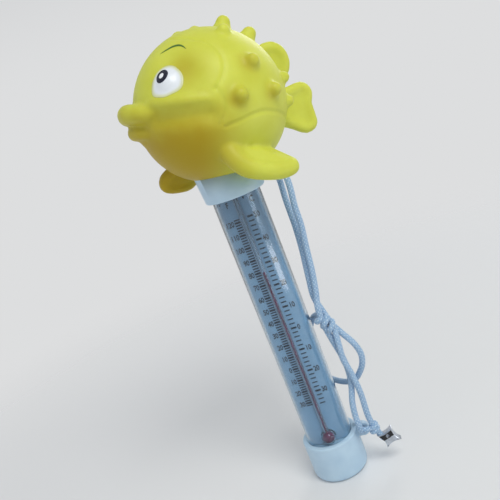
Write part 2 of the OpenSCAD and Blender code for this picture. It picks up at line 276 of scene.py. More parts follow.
def place_lights():
    """A large soft light overhead on the right, a weak one on the left, and a pale room."""
    middle = mm(0, 0, 120)
    add_area_light("overhead_key", (0.42, -0.5, 0.95), middle, (0.5, 0.5), 5.8, "FFFDF8")
    add_area_light("left_fill", (-0.75, -0.6, 0.35), middle, (0.4, 0.5), 0.25, "F4F8FF")
    add_area_light("back_rim", (0.3, 0.8, 0.5), middle, (0.4, 0.4), 1.6)
    strip = add_area_light("window_strip", (0.29, -0.107, 0.026), mm(6, -8, 95), (0.14, 0.05), 0.14)
    strip.visible_diffuse = False
    world = bpy.data.worlds.new("pale_room")
    world.use_nodes = True
    tree = world.node_tree
    tree.nodes.clear()
    coords = add_node(tree, "TexCoord")
    height = add_node(tree, "SeparateXYZ", {0: coords.outputs["Generated"]}).outputs["Z"]
    up = add_node(tree, "MapRange", {"Value": height, "From Min": 0.1, "From Max": 0.7},
                  interpolation_type="SMOOTHSTEP").outputs[0]
    room = tint(tree, up, colour("F4F5F6"), colour("B9BDC2"))
    sky = add_node(tree, "Background", {"Color": room, "Strength": 0.8})
    add_node(tree, "OutputWorld", {"Surface": sky.outputs[0]})
    scene.world = world


def lay_floor():
    """A matt white sweep that fades into the room, so that no edge shows behind the object."""
    bm = bmesh.new()
    bmesh.ops.create_circle(bm, cap_ends=True, radius=1500, segments=96)
    material, tree = new_material("pale_matt_floor")
    coords = add_node(tree, "TexCoord")
    away = add_node(tree, "VectorMath", {0: coords.outputs["Object"]}, operation="LENGTH")
    fade = add_node(tree, "MapRange", {"Value": away.outputs["Value"], "From Min": 0.08,
                                       "From Max": 0.5}, interpolation_type="SMOOTHERSTEP")
    paper = add_node(tree, "BsdfPrincipled", {"Base Color": colour("E6E7E8"), "Roughness": 0.9})
    clear = add_node(tree, "BsdfTransparent")
    show(tree, add_node(tree, "MixShader", {0: fade.outputs[0], 1: paper.outputs[0],
                                            2: clear.outputs[0]}))
    mesh = to_mesh(bm)
    mesh.materials.append(material)
    floor = bpy.data.objects.new("floor", mesh)
    scene.collection.objects.link(floor)


place_camera()
place_lights()
lay_floor()


# ---------------------------------------------------------------- materials

def soft_vinyl():
    """Rotation-cast soft PVC: satin, faintly cloudy and a little see-through at thin edges,
    with painted shade in deep gold under the face and chin, in the eye sockets, under the cheek
    ridges and on the shaded side of the side bumps."""
    material, tree = new_material("soft_cast_vinyl")
    local = place_on_object(tree, 1.0, centre=mm(*FLOAT_CENTRE), turn=FLOAT_TURN)
    axes = add_node(tree, "SeparateXYZ", {0: local})
    cloud = noise(tree, place_on_object(tree, 9.0), 3.0)
    # Painted shade: the body turns deep gold ahead of its middle and low down, under the face and
    # chin.
    ahead = add_node(tree, "MapRange", {"Value": axes.outputs["X"], "From Min": -9.0,
                                        "From Max": 13.0}, interpolation_type="SMOOTHSTEP")
    uneven = add_node(tree, "Math", {0: cloud, 1: -7.0, 2: axes.outputs["Z"]},
                      operation="MULTIPLY_ADD")
    below = add_node(tree, "MapRange", {"Value": uneven.outputs[0], "From Min": 4.0,
                                        "From Max": -17.0}, interpolation_type="SMOOTHSTEP")
    belly = add_node(tree, "Math", {0: ahead.outputs[0], 1: below.outputs[0]}, operation="MULTIPLY")
    # Painted shade from the mesh: the eye sockets, under the cheek ridges and the shaded side of
    # the side bumps.
    hollow = add_node(tree, "Attribute", attribute_name="painted_shade")
    painted_shade_mix = add_node(tree, "Math", {0: belly.outputs[0], 1: hollow.outputs["Fac"]},
                       operation="MAXIMUM")
    base = tint(tree, spread(tree, cloud, 0.0, 1.0), colour("CFD550"), colour("C8CD44"))
    # AC9404 is the deep gold of the painted shade.
    base = tint(tree, painted_shade_mix.outputs[0], base, colour("AC9404"))
    grain = noise(tree, place_on_object(tree, 0.45), 2.0)
    shader = add_node(tree, "BsdfPrincipled", {
        "Base Color": base, "Roughness": spread(tree, grain, 0.42, 0.54), "IOR": 1.53,
        "Specular IOR Level": 0.3, "Subsurface Weight": 0.22,
        "Subsurface Radius": (1.0, 0.75, 0.2), "Subsurface Scale": 2.0 * MM,
        "Normal": bump(tree, grain, 0.03, 0.35)})
    show(tree, shader)
    return material


def pad_paint(name, inner, rim, roughness):
    """Satin enamel put on with a soft pad: full in the middle, thin and yellowish at its edge."""
    material, tree = new_material(name)
    edge = add_node(tree, "Attribute", attribute_name="edge")
    thin = add_node(tree, "MapRange", {"Value": edge.outputs["Fac"], "From Min": 0.72,
                                       "From Max": 1.0}, interpolation_type="SMOOTHSTEP")
    fleck = noise(tree, place_on_object(tree, 0.5), 3.0)
    base = tint(tree, thin.outputs[0], colour(inner), colour(rim))
    shader = add_node(tree, "BsdfPrincipled", {
        "Base Color": base, "Roughness": spread(tree, fleck, roughness - 0.05, roughness + 0.08),
        "IOR": 1.5, "Coat Weight": 0.15, "Coat Roughness": 0.25,
        "Normal": bump(tree, fleck, 0.02, 0.3)})
    show(tree, shader)
    return material


def moulded_plastic(name, base_hex, deep_hex, roughness):
    """Injection-moulded polypropylene: satin, with a fine eroded texture and faint flow marks."""
    material, tree = new_material(name)
    flow = noise(tree, place_on_object(tree, 7.0), 2.0)
    texture = noise(tree, place_on_object(tree, 0.3), 2.0)
    base = tint(tree, spread(tree, flow, 0.0, 1.0), colour(base_hex), colour(deep_hex))
    shader = add_node(tree, "BsdfPrincipled", {
        "Base Color": base, "Roughness": spread(tree, texture, roughness - 0.06, roughness + 0.08),
        "IOR": 1.49, "Subsurface Weight": 0.08, "Subsurface Radius": (1.0, 1.0, 1.0),
        "Subsurface Scale": 1.0 * MM, "Normal": bump(tree, texture, 0.02, 0.3)})
    show(tree, shader)
    return material


def clear_wall(name, tone, roughness, ior):
    """Clear wall: bends and mirrors light at its rims, and lets the lamps through to the card."""
    material, tree = new_material(name)
    wipe = noise(tree, place_on_object(tree, 5.0), 3.0)
    shader = add_node(tree, "BsdfPrincipled", {
        "Base Color": colour(tone), "Roughness": spread(tree, wipe, roughness, roughness + 0.03),
        "IOR": ior, "Transmission Weight": 1.0})
    lamp = add_node(tree, "LightPath")
    open_way = add_node(tree, "BsdfTransparent", {"Color": colour("EAF1F6")})
    show(tree, add_node(tree, "MixShader", {0: lamp.outputs["Is Shadow Ray"], 1: shader.outputs[0],
                                            2: open_way.outputs[0]}))
    return material


def scale_card_plastic():
    """Rigid PVC sheet printed pale blue: satin, with a soft cloudiness and a fine pressed grain."""
    material, tree = new_material("printed_pvc_card")
    cloud = noise(tree, place_on_object(tree, 6.0), 3.0)
    grain = noise(tree, place_on_object(tree, 0.25), 1.0)
    base = tint(tree, spread(tree, cloud, 0.0, 1.0), colour("A8C6DC"), colour("9DBBD2"))
    show(tree, add_node(tree, "BsdfPrincipled", {
        "Base Color": base, "Roughness": spread(tree, grain, 0.4, 0.55),
        "Normal": bump(tree, grain, 0.02, 0.3)}))
    return material


def screen_ink():
    """Screen ink: dark blue, flat, a little thinner here and there where the mesh left dots."""
    material, tree = new_material("screen_ink")
    dots = noise(tree, place_on_object(tree, 0.35), 2.0)
    base = tint(tree, spread(tree, dots, 0.0, 1.0), colour("060B16"), colour("0E1828"))
    show(tree, add_node(tree, "BsdfPrincipled", {
        "Base Color": base, "Roughness": spread(tree, dots, 0.5, 0.7),
        "Normal": bump(tree, dots, 0.01, 0.3)}))
    return material


def drawn_glass():
    """Drawn glass stem with a strip of white enamel fused along its back, so that its flanks
    look milky and the thread of dye stands out."""
    material, tree = new_material("drawn_stem_glass")
    depth = add_node(tree, "SeparateXYZ", {0: place_on_object(tree, 1.0, centre=mm(0, STEM_Y, 0))})
    enamel = add_node(tree, "MapRange", {"Value": depth.outputs["Y"], "From Min": 0.2,
                                         "From Max": 0.5})
    streak = noise(tree, place_on_object(tree, 0.8), 2.0)
    glass = add_node(tree, "BsdfPrincipled", {
        "Base Color": colour("EEF4F8"), "Roughness": spread(tree, streak, 0.01, 0.05), "IOR": 1.5,
        "Transmission Weight": 1.0})
    white = add_node(tree, "BsdfPrincipled", {
        "Base Color": tint(tree, streak, colour("D6DEE8"), colour("C3CEDB")), "Roughness": 0.25})
    lamp = add_node(tree, "LightPath")
    open_way = add_node(tree, "BsdfTransparent", {"Color": colour("EAF1F6")})
    lit = add_node(tree, "MixShader", {0: lamp.outputs["Is Shadow Ray"], 1: glass.outputs[0],
                                       2: open_way.outputs[0]})
    show(tree, add_node(tree, "MixShader", {0: enamel.outputs[0], 1: lit.outputs[0],
                                            2: white.outputs[0]}))
    return material


def dyed_spirit():
    """Spirit with magenta-red dye: deep, glossy and slightly cloudy through the glass."""
    material, tree = new_material("dyed_spirit")
    cloud = noise(tree, place_on_object(tree, 1.2), 2.0)
    base = tint(tree, spread(tree, cloud, 0.0, 1.0), colour("8A0A46"), colour("660838"))
    show(tree, add_node(tree, "BsdfPrincipled", {
        "Base Color": base, "Roughness": spread(tree, cloud, 0.08, 0.16), "IOR": 1.36}))
    return material


def dark_rubber():
    """Moulded nitrile rubber: dull black with a dusting of talc."""
    material, tree = new_material("moulded_rubber")
    talc = noise(tree, place_on_object(tree, 0.6), 3.0)
    base = tint(tree, spread(tree, talc, 0.0, 0.6), colour("1B1B1D"), colour("3C3D40"))
    show(tree, add_node(tree, "BsdfPrincipled", {
        "Base Color": base, "Roughness": spread(tree, talc, 0.7, 0.9),
        "Normal": bump(tree, talc, 0.04, 0.5)}))
    return material


def closed_foam():
    """Closed-cell foam: matt, full of small cells, each darker at its middle as painted shade in
    its pit.
    """
    material, tree = new_material("closed_cell_foam")
    cells = add_node(tree, "TexVoronoi", {"Vector": place_on_object(tree, 0.55), "Scale": 1.0})
    pores = cells.outputs["Distance"]
    # Painted shade: 8FA9BD darkens each cell's middle, where the bump sinks it.
    base = tint(tree, pores, colour("8FA9BD"), colour("D3E2EC"))
    show(tree, add_node(tree, "BsdfPrincipled", {
        "Base Color": base, "Roughness": spread(tree, pores, 0.85, 0.95), "Sheen Weight": 0.2,
        "Normal": bump(tree, pores, 0.15, 0.8)}))
    return material


def bright_metal(name, base_hex, roughness, step_mm, stretch):
    """Bare metal with fine drawn or turned lines that catch the light in streaks."""
    material, tree = new_material(name)
    lines = add_node(tree, "VectorMath", {0: place_on_object(tree, step_mm), 1: stretch},
                     operation="MULTIPLY")
    scratch = noise(tree, lines.outputs[0], 3.0)
    smear = noise(tree, place_on_object(tree, 2.5), 2.0)
    base = tint(tree, spread(tree, smear, 0.0, 0.5), colour(base_hex), colour("8D949E"))
    show(tree, add_node(tree, "BsdfPrincipled", {
        "Base Color": base, "Metallic": 1.0,
        "Roughness": spread(tree, scratch, roughness, roughness + 0.18),
        "Normal": bump(tree, scratch, 0.015, 0.4)}))
    return material


def black_enamel():
    """Stoved black enamel in the crimp's pressed face: satin, chipped grey at its grain."""
    material, tree = new_material("stoved_black_enamel")
    wear = noise(tree, place_on_object(tree, 0.5), 4.0)
    worn = add_node(tree, "MapRange", {"Value": wear, "From Min": 0.62, "From Max": 0.7})
    base = tint(tree, worn.outputs[0], colour("0D0E12"), colour("4A4E58"))
    show(tree, add_node(tree, "BsdfPrincipled", {
        "Base Color": base, "Roughness": spread(tree, wear, 0.3, 0.5),
        "Normal": bump(tree, wear, 0.03, 0.4)}))
    return material


def braided_polyester():
    """Braided polyester: each raised diamond is a bundle of shiny fibres, its colour a little its
    own, with a painted highlight on every fourth diamond, where the fibres face the light, and
    painted shade in the gaps between bundles."""
    material, tree = new_material("braided_polyester")
    uv = add_node(tree, "UVMap", uv_map="braid")
    axes = add_node(tree, "SeparateXYZ", {0: uv.outputs[0]})
    ways = [add_node(tree, "Math", {0: axes.outputs["X"], 1: axes.outputs["Y"]}, operation=kind)
            for kind in ("ADD", "SUBTRACT")]
    floors = [add_node(tree, "Math", {0: way.outputs[0]}, operation="FLOOR") for way in ways]
    cell = add_node(tree, "CombineXYZ", {0: floors[0].outputs[0], 1: floors[1].outputs[0]})
    odd = [add_node(tree, "Math", {0: floor.outputs[0], 1: 2.0}, operation="FLOORED_MODULO")
           for floor in floors]
    painted_highlight_cells = add_node(tree, "Math", {0: odd[0].outputs[0], 1: odd[1].outputs[0]},
                       operation="MULTIPLY")
    fleck = add_node(tree, "TexWhiteNoise", {"Vector": cell.outputs[0]}, noise_dimensions="3D")
    humps = []
    for way in ways:
        angle = add_node(tree, "Math", {0: way.outputs[0], 1: math.pi}, operation="MULTIPLY")
        wave = add_node(tree, "Math", {0: angle.outputs[0]}, operation="SINE")
        humps.append(add_node(tree, "Math", {0: wave.outputs[0]}, operation="ABSOLUTE"))
    hump = add_node(tree, "Math", {0: humps[0].outputs[0], 1: humps[1].outputs[0]},
                    operation="MULTIPLY")
    fibres = add_node(tree, "VectorMath", {0: uv.outputs[0], 1: (14.0, 1.5, 1.0)},
                      operation="MULTIPLY")
    strand = noise(tree, fibres.outputs[0], 2.0)
    base = tint(tree, fleck.outputs["Value"], colour("8DB0D2"), colour("A5C3DF"))
    # Painted highlight: every fourth diamond turns pale C9DDEF.
    base = tint(tree, painted_highlight_cells.outputs[0], base, colour("C9DDEF"))
    # Painted shade: the gaps between bundles turn dark 6E94B9.
    gap = add_node(tree, "MapRange", {"Value": hump.outputs[0], "From Min": 0.0, "From Max": 0.35})
    base = tint(tree, gap.outputs[0], colour("6E94B9"), base)
    show(tree, add_node(tree, "BsdfPrincipled", {
        "Base Color": base, "Roughness": spread(tree, strand, 0.5, 0.75), "Sheen Weight": 0.3,
        "Sheen Roughness": 0.4, "Normal": bump(tree, strand, 0.05, 0.5)}))
    return material


FLOAT_CENTRE = (3, 1.4, 164.8)
FLOAT_TURN = (0, math.radians(-15), math.radians(205))
STEM_Y = -5.3

VINYL = soft_vinyl()
EYE_WHITE = pad_paint("eye_white_enamel", "E2E8EE", "CFD39A", 0.32)
GLINT_WHITE = pad_paint("glint_white_enamel", "F2F5F8", "E6EAF0", 0.3)
EYE_DARK = pad_paint("eye_dark_enamel", "0A0F24", "141A33", 0.25)
BROW_GREEN = pad_paint("brow_green_enamel", "3F6B1E", "6F8A2A", 0.4)
BLUE_PLASTIC = moulded_plastic("satin_blue_polypropylene", "BCD6E8", "B0CCE1", 0.38)
PLUG_WHITE = moulded_plastic("white_polypropylene", "E4E6E8", "D8DBDE", 0.4)
ACRYLIC = clear_wall("cast_acrylic_tube", "D0DFEA", 0.09, 1.49)
CARD = scale_card_plastic()
INK = screen_ink()
STEM_GLASS = drawn_glass()
SPIRIT = dyed_spirit()
RUBBER = dark_rubber()
FOAM = closed_foam()
CLIP_WIRE = bright_metal("bright_clip_wire", "C9CCD1", 0.18, 0.4, (0.2, 1.0, 1.0))
TURNED_STEEL = bright_metal("turned_ballast_steel", "9A9DA2", 0.3, 0.3, (0.1, 0.1, 1.0))
PRESSED_METAL = bright_metal("bright_pressed_alloy", "D3D9E2", 0.22, 0.35, (1.0, 1.0, 0.3))
BLACK_ENAMEL = black_enamel()
BRAID = braided_polyester()


# ---------------------------------------------------------------- the fish float

FLOAT_R = 29.3
FLOAT_PLACE = (Matrix.Translation(mm(*FLOAT_CENTRE)) @ Euler(FLOAT_TURN).to_matrix().to_4x4())
PAINT_T = 0.14
BUMP_ROOT = 1.5  # how deep a bump's foot is sunk in the body


def on_body(turn, lift, radius=FLOAT_R):
    """A point in the float's own frame: turn from the nose to its left, lift above the middle."""
    t, u = math.radians(turn), math.radians(lift)
    return Vector((math.cos(u) * math.cos(t), math.cos(u) * math.sin(t), math.sin(u))) * radius


def ball(place, radii, around=24):
    """A ball or an egg of vinyl."""
    radii = (radii,) * 3 if isinstance(radii, (int, float)) else radii
    bm = bmesh.new()
    bmesh.ops.create_uvsphere(bm, u_segments=around, v_segments=around // 2, radius=1,
                              matrix=Matrix.Translation(place) @ Matrix.Diagonal((*radii, 1)))
    return bm


def roll(points, radii, step=1.2):
    """A rounded roll through the points, thick and thin as the radii say."""
    line, _ = smooth_route(points, step)
    at = np.linspace(0, len(radii) - 1, len(line))
    thick = np.interp(at, range(len(radii)), radii)
    return joined([ball(Vector(place), float(r), 16) for place, r in zip(line, thick)])


def web(points, radius):
    """A thin web of vinyl stretched between points."""
    bm = joined([ball(Vector(place), radius, 12) for place in points])
    hull = bmesh.ops.convex_hull(bm, input=bm.verts)
    inner = {g for g in hull["geom_interior"] + hull["geom_unused"]
             if isinstance(g, bmesh.types.BMVert)}
    bmesh.ops.delete(bm, geom=list(inner), context="VERTS")
    return bm


def blunt_bump(turn, lift, height, base_r, tip_r):
    """A blunt cone of vinyl standing on the body."""
    bm = bmesh.new()
    out = on_body(turn, lift, 1.0)
    stand = out.to_track_quat("Z", "Y").to_matrix().to_4x4()
    foot = FLOAT_R - BUMP_ROOT
    depth = height + BUMP_ROOT - tip_r
    matrix = Matrix.Translation(out * (foot + depth / 2)) @ stand
    bmesh.ops.create_cone(bm, cap_ends=True, segments=24, radius1=base_r, radius2=tip_r * 0.9,
                          depth=depth, matrix=matrix)
    return joined([bm, ball(out * (FLOAT_R + height - tip_r), tip_r)])


def face():
    """Snout, pouting lips, cheek ridges and the swell behind each eye."""
    parts = [ball(Vector((17, 0, -3)), 13.5, 48), ball(Vector((24, 0, -4)), (7.5, 9.5, 7.0), 32)]
    parts.append(roll([(24, -14, -1.4), (28.2, -9.5, -0.6), (31.2, -4, 0), (31.6, 0, 0.1),
                       (31.2, 4, 0), (28.2, 9.5, -0.6), (24, 14, -1.4)],
                      [2.8, 3.5, 3.8, 3.9, 3.8, 3.5, 2.8]))
    parts.append(roll([(25, -9, -7.4), (28.4, -5, -6.8), (29.8, 0, -6.6), (28.4, 5, -6.8),
                       (25, 9, -7.4)], [2.1, 2.8, 3.0, 2.8, 2.1]))
    for side in (-1, 1):
        ridge = [on_body(side * t, u, FLOAT_R - 1.7) for t, u in
                 ((27, 3.2), (36, 3.8), (46, 3.6), (58, 3.2), (70, 2.6), (80, 1.8))]
        parts.append(roll(ridge, [2.6, 3.0, 3.1, 3.0, 2.6, 1.9]))
        parts.append(ball(on_body(side * 44.5, 18.5, 23.2), 7.1, 40))
    return parts


def dorsal_fin():
    """The rounded fin on the back: a thick rim round a thin web."""
    rim = [(-20, 0, 18), (-23.6, 0, 19.8), (-27.2, 0, 20.4), (-30.4, 0, 18.4), (-31.8, 0, 14.8),
           (-31, 0, 11.2), (-28, 0, 8.6)]
    return [roll(rim, [2.4, 2.5, 2.6, 2.6, 2.5, 2.4, 2.3]), web(rim + [(-18, 0, 10)], 1.8)]


def tail():
    """The two-lobed tail, thick along both rims."""
    upper = [(-28, 0, 1), (-33, 0, 3.2), (-38.2, 0, 4.6), (-40.4, 0, 2.6), (-39.9, 0, -1.8)]
    lower = [(-39.9, 0, -1.8), (-41, 0, -6.6), (-41.4, 0, -10), (-38.8, 0, -11.4), (-34, 0, -9.6),
             (-28, 0, -7)]
    return [roll(upper, [3, 2.5, 2.3, 2.2, 2.1]), roll(lower, [2.1, 2.2, 2.3, 2.4, 2.5, 3]),
            web(upper + [(-26, 0, -3)], 1.5), web(lower + [(-26, 0, -2)], 1.5)]


def paddle_fins():
    """The left paddle sweeps back and the right one reaches forward, as if it paddled."""
    left = [(1.4, 20.5, -14.6), (0.3, 23.6, -19.2), (-3.4, 25.6, -23.2), (-10.4, 26.6, -25.4),
            (-16.6, 26.6, -25.8), (-20, 26, -24.9), (-19.4, 22.6, -23.6), (-13, 17, -19)]
    right = [(6, -13, -20), (13.6, -14, -22.6), (18, -16, -25.8), (18, -17, -28),
             (14.4, -18, -28.9), (8.6, -18.6, -28.4), (6.2, -19, -26.4), (0, -17, -20)]
    return [roll(left, [4.6, 4.1, 3.8, 3.5, 3.3, 3.1, 3.0, 3.0]), web(left + [(-6, 16, -18)], 2.6),
            roll(right, [3.4, 3.2, 3.1, 3.0, 3.0, 3.0, 3.0, 3.4]),
            web(right + [(2, -12, -20)], 2.2)]


BLUNT_BUMPS = [(180, 73.8, 5.6, 5.0, 2.9), (180, 54.4, 5.8, 5.0, 2.9), (0, 85, 1.2, 4.0, 2.8),
               (0, 71, 0.9, 4.0, 2.8)]
SIDE_BUMPS = [(112, 25, 3.4, 6.0, 2.6), (96, 2.5, 3.4, 6.0, 2.6), (126, 5, 3.4, 5.6, 2.6),
              (104, 57, 2.9, 5.4, 2.5), (156, 15, 2.9, 4.8, 2.3), (156, -2, 2.7, 4.8, 2.3)]

# Moulded creases on each side: turn and lift along the line, depth and half-width in millimetres
CREASES = [
    ([(30, 57), (44, 55), (62, 51), (77, 46), (85.7, 37.8), (89, 28.8), (87.5, 19.9), (84, 13.2),
      (80, 8.5)], 0.42, 0.7),
    ([(80, 8.5), (83.4, 3), (84.6, -1.1), (84, -8), (80.5, -15)], 0.5, 0.7),
    ([(84, -17.2), (94, -14.6), (103.5, -11.4), (115, -9.3), (128.8, -10.2), (142, -12.4),
      (156, -15)], 0.5, 0.7),
    ([(106, -34), (112, -38), (128, -43), (146, -46)], 1.2, 1.0),
    ([(34, -6.4), (48, -7), (62, -7.4), (74, -8)], 1.5, 3.0),
]
# Painted shade in deep gold on the eye sockets, under the cheek ridges and on the shaded side of
# the side bumps: turn, lift, reach, strength
SHADE_SPOTS = [(57, 25, 6.5, 0.55), (108, 24, 3.4, 0.6), (93, 0, 3.6, 0.75), (123, 3, 3.0, 0.55),
         (60, -4, 5.0, 0.4), (40, -5, 5.0, 0.4)]
NECK_RISE = 2.2  # how far the belly is pressed up around the collar
NECK_SPAN = 15.0
NECK_START = 10.0  # depth below the float's middle where the rise sets in
NECK_FADE = 5.0


def lines_on_body(points, side):
    """Closely spaced points along a line drawn on the body, on one side."""
    line, _ = smooth_route([on_body(side * t, u) for t, u in points], 0.7)
    return line


def crease_depth(places):
    """How far each point of the float sinks: creases, sockets and the hollow under the ridge."""
    sink = np.zeros(len(places))
    for points, depth, half_width in CREASES:
        for side in (-1, 1):
            line = lines_on_body(points, side)
            gap = np.full(len(places), 99.0)
            for q in line:
                gap = np.minimum(gap, np.linalg.norm(places - q, axis=1))
            sink += depth * np.exp(-(gap / half_width) ** 2)
    for side in (-1, 1):
        for turn, lift, depth, half_width in ((60, 21, 1.3, 6.5), (46, 36, 0.8, 6.0)):
            gap = np.linalg.norm(places - np.array(on_body(side * turn, lift)), axis=1)
            sink += depth * np.exp(-(gap / half_width) ** 2)
    return sink


def spray_amount(places):
    """How much painted shade each point of the float takes."""
    amount = np.zeros(len(places))
    for side in (-1, 1):
        for turn, lift, reach, strength in SHADE_SPOTS:
            gap = np.linalg.norm(places - np.array(on_body(side * turn, lift)), axis=1)
            amount = np.maximum(amount, strength * np.exp(-(gap / reach) ** 2))
    return amount


def float_mesh():
    """The fish, cast in one piece, in millimetres in its own frame."""
    parts = [ball(Vector((0, 0, 0)), FLOAT_R, 128)]
    parts += face() + dorsal_fin() + tail() + paddle_fins()
    parts += [blunt_bump(*b) for b in BLUNT_BUMPS]
    parts += [blunt_bump(side * turn, *rest) for side in (-1, 1) for turn, *rest in SIDE_BUMPS]
    mesh = bpy.data.meshes.new("fish")
    whole = joined(parts)
    whole.to_mesh(mesh)
    whole.free()
    mesh = baked(mesh, ("REMESH", {"mode": "VOXEL", "voxel_size": 0.62, "use_smooth_shade": True}),
                 ("SMOOTH", {"factor": 0.5, "iterations": 10}))
    places = np.empty(len(mesh.vertices) * 3)
    mesh.vertices.foreach_get("co", places)
    places = places.reshape(-1, 3)
    normals = np.empty(len(mesh.vertices) * 3)
    mesh.vertices.foreach_get("normal", normals)
    # Painted shade, carried on the mesh to the vinyl's material
    painted_shade = mesh.attributes.new("painted_shade", "FLOAT", "POINT")
    painted_shade.data.foreach_set("value", spray_amount(places))
    places -= normals.reshape(-1, 3) * crease_depth(places)[:, None]
    turn = np.array(Euler(FLOAT_TURN).to_matrix())
    world = places @ turn.T + np.array(FLOAT_CENTRE)
    off_axis = np.hypot(world[:, 0], world[:, 1])
    under = np.clip((FLOAT_CENTRE[2] - NECK_START - world[:, 2]) / NECK_FADE, 0, 1)
    world[:, 2] += NECK_RISE * np.exp(-(off_axis / NECK_SPAN) ** 2) * under
    places = (world - np.array(FLOAT_CENTRE)) @ turn
    mesh.vertices.foreach_set("co", places.ravel())
    mesh.update()
    return mesh


fish = float_mesh()
fish_surface = bmesh.new()
fish_surface.from_mesh(fish)
FISH_SKIN = BVHTree.FromBMesh(fish_surface)
fish_surface.free()


def on_skin(turn, lift, proud):
    """The point of the fish's skin in a direction, raised by a film's thickness."""
    way = on_body(turn, lift, 1.0)
    hit, normal, _, _ = FISH_SKIN.ray_cast(way * 60, -way)
    return hit + normal * proud


def film_mesh(films):
    """Both sides' paint as one mesh in its place, given the paint's thickness."""
    return baked(to_mesh(joined(films), FLOAT_PLACE),
                 ("SOLIDIFY", {"thickness": PAINT_T * MM, "offset": -1}))


def paint_film(name, centre, outline, proud, material):
    """A film of paint inside an outline of turn and lift, laid on the skin on each side."""
    spokes = [(math.atan2(u - centre[1], t - centre[0]), math.hypot(t - centre[0], u - centre[1]))
              for t, u in outline]
    spokes.sort()
    angles, reach = zip(*spokes)
    dense = np.linspace(-math.pi, math.pi, 120, endpoint=False)
    limit = np.interp(dense, angles, reach, period=math.tau)
    for _ in range(3):
        limit = (np.roll(limit, 1) + limit * 2 + np.roll(limit, -1)) / 4
    films = []
    for side in (-1, 1):
        bm = bmesh.new()
        bmesh.ops.create_grid(bm, x_segments=30, y_segments=30, size=1)
        mark = bm.verts.layers.float.new("edge")
        for v in bm.verts:
            x, y = v.co.x, v.co.y
            x, y = x * math.sqrt(1 - y * y / 2), y * math.sqrt(1 - x * x / 2)
            far = math.hypot(x, y)
            angle = math.atan2(y, x)
            edge = far * float(np.interp(angle, dense, limit, period=math.tau))
            v[mark] = far
            v.co = on_skin(side * (centre[0] + edge * math.cos(angle)),
                           centre[1] + edge * math.sin(angle), proud)
        if side < 0:
            bmesh.ops.reverse_faces(bm, faces=bm.faces)
        films.append(bm)
    return add_piece(name, film_mesh(films), material)


def brow_film():
    """A thin brow, tapered at both ends, painted above each eye."""
    films = []
    for side in (-1, 1):
        line, _ = smooth_route([(*p, 0) for p in BROW_LINE], 0.4)
        bm = bmesh.new()
        bmesh.ops.create_grid(bm, x_segments=len(line) - 1, y_segments=4, size=1)
        mark = bm.verts.layers.float.new("edge")
        for v in bm.verts:
            t = (v.co.x + 1) / 2
            k = min(len(line) - 1, round(t * (len(line) - 1)))
            ahead, behind = line[min(k + 1, len(line) - 1)], line[max(k - 1, 0)]
            way = Vector((ahead - behind)).normalized()
            half = BROW_HALF_WIDTH * max(0.02, math.sin(math.pi * t)) ** 0.7
            v[mark] = abs(v.co.y)
            turn = line[k][0] - way.y * v.co.y * half
            lift = line[k][1] + way.x * v.co.y * half
            v.co = on_skin(side * turn, lift, 0.1)
        if side < 0:
            bmesh.ops.reverse_faces(bm, faces=bm.faces)
        films.append(bm)
    return add_piece("painted_brows", film_mesh(films), BROW_GREEN)


BROW_LINE = [(31, 41.2), (36.6, 43.9), (43.3, 46.2), (50.3, 46.4), (55.6, 44.4), (59.4, 41.2)]
BROW_HALF_WIDTH = 0.85  # degrees of lift
EYE_CENTRE = (45, 19)
EYE_OUTLINE = [(46, 29.8), (53, 26.2), (57.6, 19.4), (56.8, 12), (50, 8.4), (39.7, 7.2), (33, 9.4),
               (32, 15), (33.6, 22), (38, 27.6)]
PUPIL_CENTRE = (41.3, 21.4)
PUPIL_OUTLINE = [(41.5, 26.5), (45, 24.9), (46.4, 21.6), (44.8, 17.9), (41.2, 16.4), (37.6, 17.9),
                 (36.2, 21.2), (37.8, 24.8)]
GLINT_OUTLINE = [(41.3, 23.4), (42.7, 22.8), (43.2, 21.4), (42.7, 20), (41.3, 19.4), (39.9, 20),
                 (39.4, 21.4), (39.9, 22.8)]

eye_whites = paint_film("painted_eye_whites", EYE_CENTRE, EYE_OUTLINE, 0.08, EYE_WHITE)
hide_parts("eye_whites")
pupils = paint_film("painted_pupils", PUPIL_CENTRE, PUPIL_OUTLINE, 0.16, EYE_DARK)
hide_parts("eye_pupils")
glints = paint_film("painted_glints", PUPIL_CENTRE, GLINT_OUTLINE, 0.24, GLINT_WHITE)
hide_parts("eye_glints")
brows = brow_film()
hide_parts("eyebrows")

fish.transform(FLOAT_PLACE @ Matrix.Diagonal((MM, MM, MM, 1)))
fish_float = add_piece("fish_float", fish, VINYL)
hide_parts("float_shell")


# ---------------------------------------------------------------- collar, tube and foot cap

TUBE_R = 10.0
BORE_R = 9.1
TUBE_FOOT, TUBE_TOP = 3.0, 133.7
GLUE_GAP = 0.03
LUG_T = 3.0
LUG_SOFT = 0.5  # bevel round the lug's hole


def pushed(bm, face, way):
    """One face extruded by a vector into a solid."""
    grown = bmesh.ops.extrude_face_region(bm, geom=[face])["geom"]
    bmesh.ops.translate(bm, vec=way, verts=[g for g in grown if isinstance(g, bmesh.types.BMVert)])
    bmesh.ops.recalc_face_normals(bm, faces=bm.faces)


